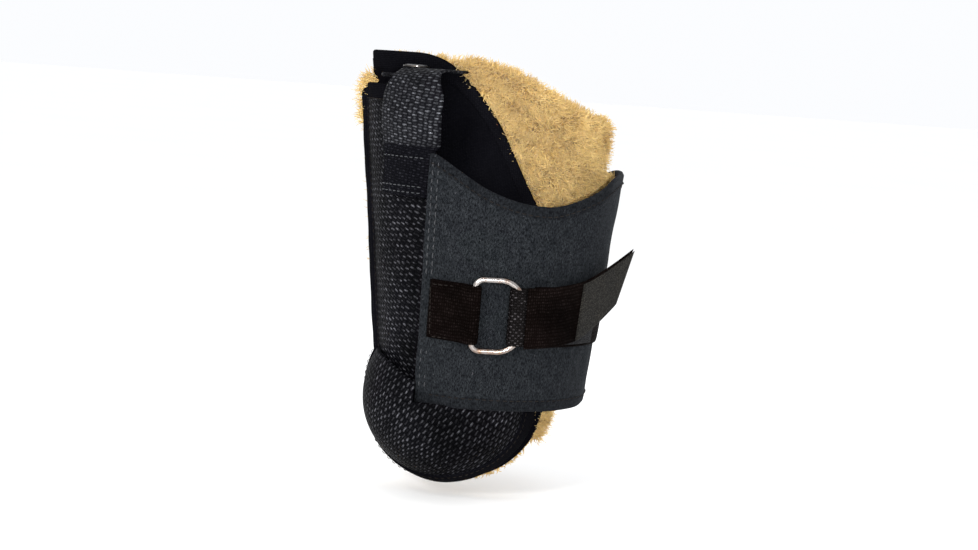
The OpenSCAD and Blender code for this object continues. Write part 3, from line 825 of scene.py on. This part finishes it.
place_on(sheet("wing_loop", leg, FLAP_A + 34, FLAP_END - 5, 6, 43, -4.95, -3.9, LOOP, 2.0), "wing_loop_patch")

# ---- seams
def straight(place, start, stop, off, pitch=3.4, count=20):
    """Stitch spots along a straight run between two (angle, height) points of a surface."""
    a, z = np.linspace(start, stop, count).T
    return seam(place, np.stack([a, off(a, z) if callable(off) else np.full(count, off), z], 1), pitch)


def joined(place, corners, off, pitch=3.4):
    return [spot for p, q in zip(corners, corners[1:]) for spot in straight(place, p, q, off, pitch)]


def sew(name, rows, *nodes, body="holster", mat=DARK_THREAD, length=2.3, thick=0.45):
    place_on(stitches(name, rows, mat, length, thick), *nodes, body=body)


rows = []
for dx in (1.9, 4.6):
    for lo, hi in ((7, 29.5), (62.5, 117)):
        z = np.arange(lo, hi, 1.5)
        rows += seam(wrap, np.stack([pouch_angle(BAND_X + dx, z, 0) - 360, np.full_like(z, 0.1), z], 1))
sew("band_seam_stitches", rows, "band_stitching", mat=THREAD, length=2.7, thick=0.62)


def hem_rows(place, a0, a1, top, low_z, low_off):
    """Rows of stitches along both hems of a panel."""
    a = np.linspace(a0, a1, 160)
    x = place(a, 0.0, 100.0)[:, 0]
    spots = []
    for z, off in ((top(x), 0.5), (np.full_like(x, low_z), low_off)):
        spots += seam(place, np.stack([a, off + drape(a, z), z], 1), 3.4)
    return spots


sew("band_hem_stitches", hem_rows(wrap, -118, Q_END - 1, below(mouth, 4.7), 4.4, 0.3))
sew("far_hem_stitches", hem_rows(leg, 45, FLAP_A - 1, below(far_top, 4.7), 4.4, 0.3), body="far_wrap")
sew("side_seam_stitches", straight(leg, (HINGE_A - 2.2, 8), (HINGE_A - 2.2, 97),
                                   lambda a, z: 0.1 + drape(POUCH + a, z), count=60))
box = [(FLAP_A + 37, 9), (FLAP_END - 7, 9), (FLAP_END - 7, 40), (FLAP_A + 37, 40), (FLAP_A + 37, 9)]
sew("flap_stitches", hem_rows(leg, 140, FLAP_END - 3, lambda x: np.full_like(x, FLAP_H - 4), 5.0, 0.5)
    + joined(leg, box, lambda a, z: 0.1 + drape(a, z)), body="flap")
sew("nylon_edge_stitches", straight(pouch, (188.5, 2), (188.5, EAR_H - 8), -2.3, 3.6, 90)
    + straight(pouch, (189, EAR_H - 5), (238, EAR_H - 5), -2.2, count=40))
rows = []
for f, psi in zip(phi[4:-4:3], (rim + 2.4)[4:-4:3]):
    p, q = ball(f, psi, TOE_R + 0.9), ball(f + 1, psi, TOE_R + 0.9)
    rows.append((p, p - np.array([TOE_X, TOE_Y, 0]), q - p))
sew("toe_rim_stitches", rows, length=2.2)

# ---- ring and cinch strap
LEAN = math.atan(TAPER)


def ring_point(x, y, z):
    """From the ring's own frame to the object's: x along the strap, -y outwards, z up the cone."""
    x, y, z = np.broadcast_arrays(np.asarray(x, float), y, z)
    a, r = math.radians(RING_A), WRAP_R + TAPER * CINCH_Z + RING_OFF
    yl, zl = y * math.cos(LEAN) - z * math.sin(LEAN), y * math.sin(LEAN) + z * math.cos(LEAN)
    return np.stack([r * math.sin(a) + x * math.cos(a) - yl * math.sin(a),
                     -POUCH - r * math.cos(a) + x * math.sin(a) + yl * math.cos(a), CINCH_Z + zl], -1)


BAR_X, RING_HALF, RING_CORNER, BAR_CORNER, FOLD_X, FOLD_END = -11.5, 17.5, 11.0, 4.0, 8.3, 13.6


def arc(cx, cy, r, a0, a1, n):
    t = np.radians(np.linspace(a0, a1, n))
    return np.stack([cx + r * np.cos(t), cy + r * np.sin(t)], 1)


outline = np.concatenate([
    arc(-BAR_X - RING_CORNER, RING_HALF - RING_CORNER, RING_CORNER, 0, 90, 20),
    arc(BAR_X + BAR_CORNER, RING_HALF - BAR_CORNER, BAR_CORNER, 90, 180, 10),
    np.linspace((BAR_X, 12), (BAR_X, -12), 8),
    arc(BAR_X + BAR_CORNER, BAR_CORNER - RING_HALF, BAR_CORNER, 180, 270, 10),
    arc(-BAR_X - RING_CORNER, RING_CORNER - RING_HALF, RING_CORNER, 270, 360, 20)])
ring_path = ring_point(outline[:, 0], 0.0, outline[:, 1])
ring_axis = (ring_point(0, -1, 0) - ring_point(0, 0, 0))[None]
place_on(closed_tube("ring_wire", ring_path, 3.0, CHROME, ring_axis), "d_ring", body="ring")

up_ring = ring_point(0, 0, 1) - ring_point(0, 0, 0)


def plan_strap(name, path, width, mat):
    """Webbing standing on edge along a path in the ring's frame, given as x and y."""
    return strap(name, ring_point(path[:, 0], path[:, 1], 0.0), up_ring, width, 1.3, mat)


R_RING = radius(CINCH_Z) + RING_OFF


def on_face(angle, off):
    """x and y in the ring's frame of points on the band's face, by their angles from the ring."""
    t, r = np.radians(angle), radius(CINCH_Z) + off
    return np.stack([r * np.sin(t), R_RING - r * np.cos(t)], -1)


keep_a = np.linspace(-33, -17, 14)
keeper_path = np.concatenate([on_face(keep_a, 0.95), [(BAR_X - 3, 2.4)],
                              arc(BAR_X, 0, 2.5, 80, -80, 14), [(BAR_X - 2.5, -1.9)],
                              on_face(keep_a[::-1], 2.5 + 1.5 * ((keep_a[::-1] + 33) / 18) ** 2)])
place_on(plan_strap("ring_keeper_loop", keeper_path, 28.5, WEBBING), "ring_keeper")

fold_path = np.concatenate([np.linspace((FOLD_END + 5, 3.4), (FOLD_X, 2.5), 9)[1:-1],
                            arc(FOLD_X, 0, 2.5, 90, 270, 17),
                            np.linspace((FOLD_X, -2.5), (FOLD_END, -2.1), 7)[1:]])
place_on(plan_strap("strap_fold_loop", fold_path, 27.6, FOLD_GLINT), "strap_fold", body="ring")


def along_wrap(qs, off, z):
    """A strap's centre line on the band, with its widthwise and outward directions."""
    centre = wrap(qs, off, z)
    return centre, wrap(qs, off, z + 1) - centre, wrap(qs, off + 1, z) - centre


RUN_BEND = "holster", "ring", wrap(-40, 1, CINCH_Z), wrap(-67, 1, CINCH_Z)
run_q = np.linspace(-67, POUCH + 29, 90)
lift = np.clip((-58 - run_q) / 9, 0, 1) ** 2 * 0.6
centre, ups, out = along_wrap(run_q, 1.0 + lift, CINCH_Z)
bend(strap("cinch_strap_run_webbing", centre, ups, WEBBING_W, WEBBING_T, WEBBING, out), *RUN_BEND,
     "cinch_strap_run")
bend(sheet("run_loop_tape", wrap, -62, -24, 32.5, 59.5, 1.7, 2.7, LOOP, 2.0), *RUN_BEND, "run_loop_patch")

AWAY, UP = np.array([0.5, -1, 0]), np.array([0, 0, 1.0])     # from the leg at the ring, and upwards
start_p = ring_point(FOLD_END, -2.1, 0)
tail_q = np.linspace(-66, -42, 26)
settle = np.clip((tail_q + 66) / 24, 0, 1)
tail_c, tail_u, _ = along_wrap(tail_q, 7.4 - 2.3 * settle, CINCH_Z + 0.3 + 3.2 * settle ** 1.6)
tail_c = np.concatenate([[start_p, (start_p + tail_c[0]) / 2], tail_c])
tail_u = np.concatenate([[up_ring, (up_ring + tail_u[0]) / 2], tail_u])
heading = unit(tail_c[-1] - tail_c[-2])
outwards = np.cross(heading, tail_u[-1])
outwards *= math.copysign(1, outwards @ AWAY)
peel = np.linspace(0, 1, 20)[1:]
tip = (tail_c[-1] + heading * (peel * 34)[:, None] + outwards * (0.5 * peel ** 2)[:, None]
       + UP * (9.5 * peel ** 1.4)[:, None])
tip_up = tail_u[-1] + np.array([0.20, 0.30, 0.0]) * peel[:, None]
tail_path, tail_ups = np.concatenate([tail_c, tip]), np.concatenate([tail_u, tip_up])
tail = strap("strap_tail_webbing", tail_path, tail_ups, WEBBING_W, WEBBING_T, WEBBING)
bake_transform(tail)
finish_piece(tail, "strap_tail")


def tail_tape(name, part, off, width, thick, node):
    """Hook tape on a part of the tail, on its outer face where off is positive."""
    path, ups = tail_path[part], tail_ups[part]
    out = unit(np.cross(ups, np.gradient(path, axis=0)))
    out *= np.sign(out @ AWAY)[:, None]
    place_on(strap(name, path + out * off, ups, width, thick, HOOK, out), node, body="tail")


tail_tape("tail_end_tape", slice(-22, None), 1.0, 28.4, 0.9, "tail_end_tab")
tail_tape("tail_hook_tape", slice(12, -3), -1.05, 27, 0.8, "tail_hook_patch")

rows = []
for a0, a1, z0, z1 in ((-31.5, -31.5, 34, 58.5), (-20.5, -20.5, 34, 58.5), (-31, -21, 33.5, 33.5),
                       (-31, -21, 59, 59)):
    rows += straight(pouch, (a0 + RING_A + 270, z0), (a1 + RING_A + 270, z1), 3.25, 3.0, 16)
sew("keeper_stitches", rows, "keeper_stitching", thick=0.5)
box = [(12, 33.5), (27, 33.5), (27, 58.5), (12, 58.5), (12, 33.5), (27, 58.5)]
sew("anchor_stitches", joined(leg, box, 1.75, 3.0), "anchor_stitching", thick=0.5)

# ---- retention strap
RETAIN_X, RETAIN_HALF, FOLD_Z, ROWS, COLS = -42.0, 19.0, 124.5, 90, 26


def retention_grid(off):
    """The strap's points: up the pouch's front, then over the mouth towards the leg."""
    low, bend_z, bend_r, flat_len = 99.0, 150.6, 10.0, 16.0
    rise, quarter = bend_z - low, bend_r * math.pi / 2
    s = np.linspace(0, rise + quarter + flat_len, ROWS)[:, None]
    w = np.linspace(-1, 1, COLS)
    z = low + np.minimum(s, rise)
    belly = 2.6 * np.exp(-((z - 139) / 11) ** 2)
    sewn = np.clip((FOLD_Z - z) / 6, 0, 1)
    half = RETAIN_HALF - 3.0 * sewn - 5.5 * np.clip((s - rise + 2) / 12, 0, 1)
    middle = pouch_angle(RETAIN_X - 1.5 * sewn, z, off)
    p = pouch(middle + np.degrees(w * half / (radius(z) + off)), off + belly * (1 - 0.35 * w ** 2), z)
    centre = math.radians(pouch_angle(RETAIN_X, 150.0, off))
    inward = -np.array([math.cos(centre), math.sin(centre), 0])
    over = np.clip((s - rise) / bend_r, 0, math.pi / 2)
    flat = np.clip(s - rise - quarter, 0, None)
    p = p + inward * (bend_r * (1 - np.cos(over)) + flat)[..., None]
    p[..., 2] += bend_r * np.sin(over)
    return p, np.stack(np.broadcast_arrays(w * half, s), -1)


surface, strap_uv = retention_grid(-1.3)
normal = unit(np.cross(np.gradient(surface, axis=1), np.gradient(surface, axis=0)))
border = np.minimum(border_steps(COLS) * 1.1, border_steps(ROWS)[:, None] * 0.9)
thick = 0.75 * rounded(border / 0.9)[..., None]
# Painted sheen on the strap above the fold; the faces below it take a darker webbing.
retention = shell("retention_webbing", surface + normal * thick, surface - normal * thick, strap_uv, STRAP_SHEEN)
retention.data.materials.append(STRAP_BASE)
for face in retention.data.polygons:
    face.material_index = int(face.center.z < FOLD_Z * MM)
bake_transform(retention)
finish_piece(retention, "retention_strap", "retention_base")
rows = []
for z in (101.5, 104.5, 118.5):
    rows += straight(pouch, *((pouch_angle(x, z, 0), z) for x in (-54.5, -34)), -0.5, 3.2)
sew("retention_stitches", rows, "base_stitching", mat=THREAD, thick=0.5)

tab_dir = np.array([-0.55, -0.83, 0])
anchor = np.array([-37.0, -50.5, 0]) * (radius(140) + 0.9) / math.hypot(37.0, 50.5)
z = np.linspace(134, 151, 10)[:, None]
climb = anchor + UP * z + tab_dir * 0.11 * (z - 140)
t = np.linspace(0.15, 1.57, 8)[:, None]
curve = climb[-1] + tab_dir * 6 * (1 - np.cos(t)) + UP * 6 * np.sin(t)
shelf = curve[-1] + tab_dir * np.linspace(1.5, 14, 10)[:, None]
tab_path = np.concatenate([climb, curve, shelf])
place_on(strap("thumb_tab_webbing", tab_path, np.cross(tab_dir, UP), 21, 1.9, STRAP_SHEEN, round_end=8.0),
         "thumb_tab")

for node in ("snap_stud", "snap_socket", "snap_cap"):
    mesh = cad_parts[node].data
    mesh.materials.clear()
    mesh.materials.append(SNAP)


# ---- stage, light and camera
low, high = cad_box
bpy.ops.mesh.primitive_plane_add(size=40, location=(0, 0, low.z - 0.004))
floor = bpy.context.object
floor.name = "floor"
m, g, shader = material("pale_floor")
tone = g.ramp(g.noise(3, 2), [(0.3, (0.925, 0.925, 0.92)), (0.7, (0.94, 0.94, 0.935))])
g.fill(shader, {"Base Color": tone, "Roughness": 0.85})
floor.data.materials.append(m)

world = bpy.data.worlds.new("studio")
bpy.context.scene.world = world
world.use_nodes = True
world.node_tree.nodes["Background"].inputs["Color"].default_value = (0.97, 0.98, 1.0, 1)


def light(name, kind, place, size, power, colour=(1, 1, 1)):
    data = bpy.data.lights.new(name, kind)
    if kind == "AREA":
        data.size = size
    else:
        data.angle = size
    data.energy, data.color = power, colour
    obj = add(name, data)
    obj.location = place
    obj.rotation_euler = (AIM - Vector(place)).to_track_quat("-Z", "Y").to_euler()


AIM, WARM = Vector((0.0, -0.03, 0.06)), (1.0, 0.98, 0.95)
light("sun", "SUN", (-0.6, -0.8, 1.1), math.radians(14), 0.45, WARM)
light("key", "AREA", (-0.50, -0.90, 0.40), 0.20, 6, WARM)
light("flash", "AREA", (0.10, -1.1, 0.16), 0.07, 9)
light("rim", "AREA", (0.5, 0.8, 0.4), 0.4, 4, (0.95, 0.97, 1.0))

ELEVATION, ROLL, DISTANCE = 5.0, 4.0, 1.16
camera = add("camera", bpy.data.cameras.new("camera"))
camera.data.lens = 85
camera.data.sensor_width = 36
target = Vector((0.001, -0.03, (low.z + high.z) / 2))
e = math.radians(ELEVATION)
camera.location = target + Vector((0, -math.cos(e), math.sin(e))) * DISTANCE
camera.rotation_mode = "QUATERNION"
look = (target - camera.location).to_track_quat("-Z", "Y")
camera.rotation_quaternion = look @ Quaternion((0, 0, 1), math.radians(ROLL))
bpy.context.scene.camera = camera
bpy.context.scene.view_settings.view_transform = "Standard"
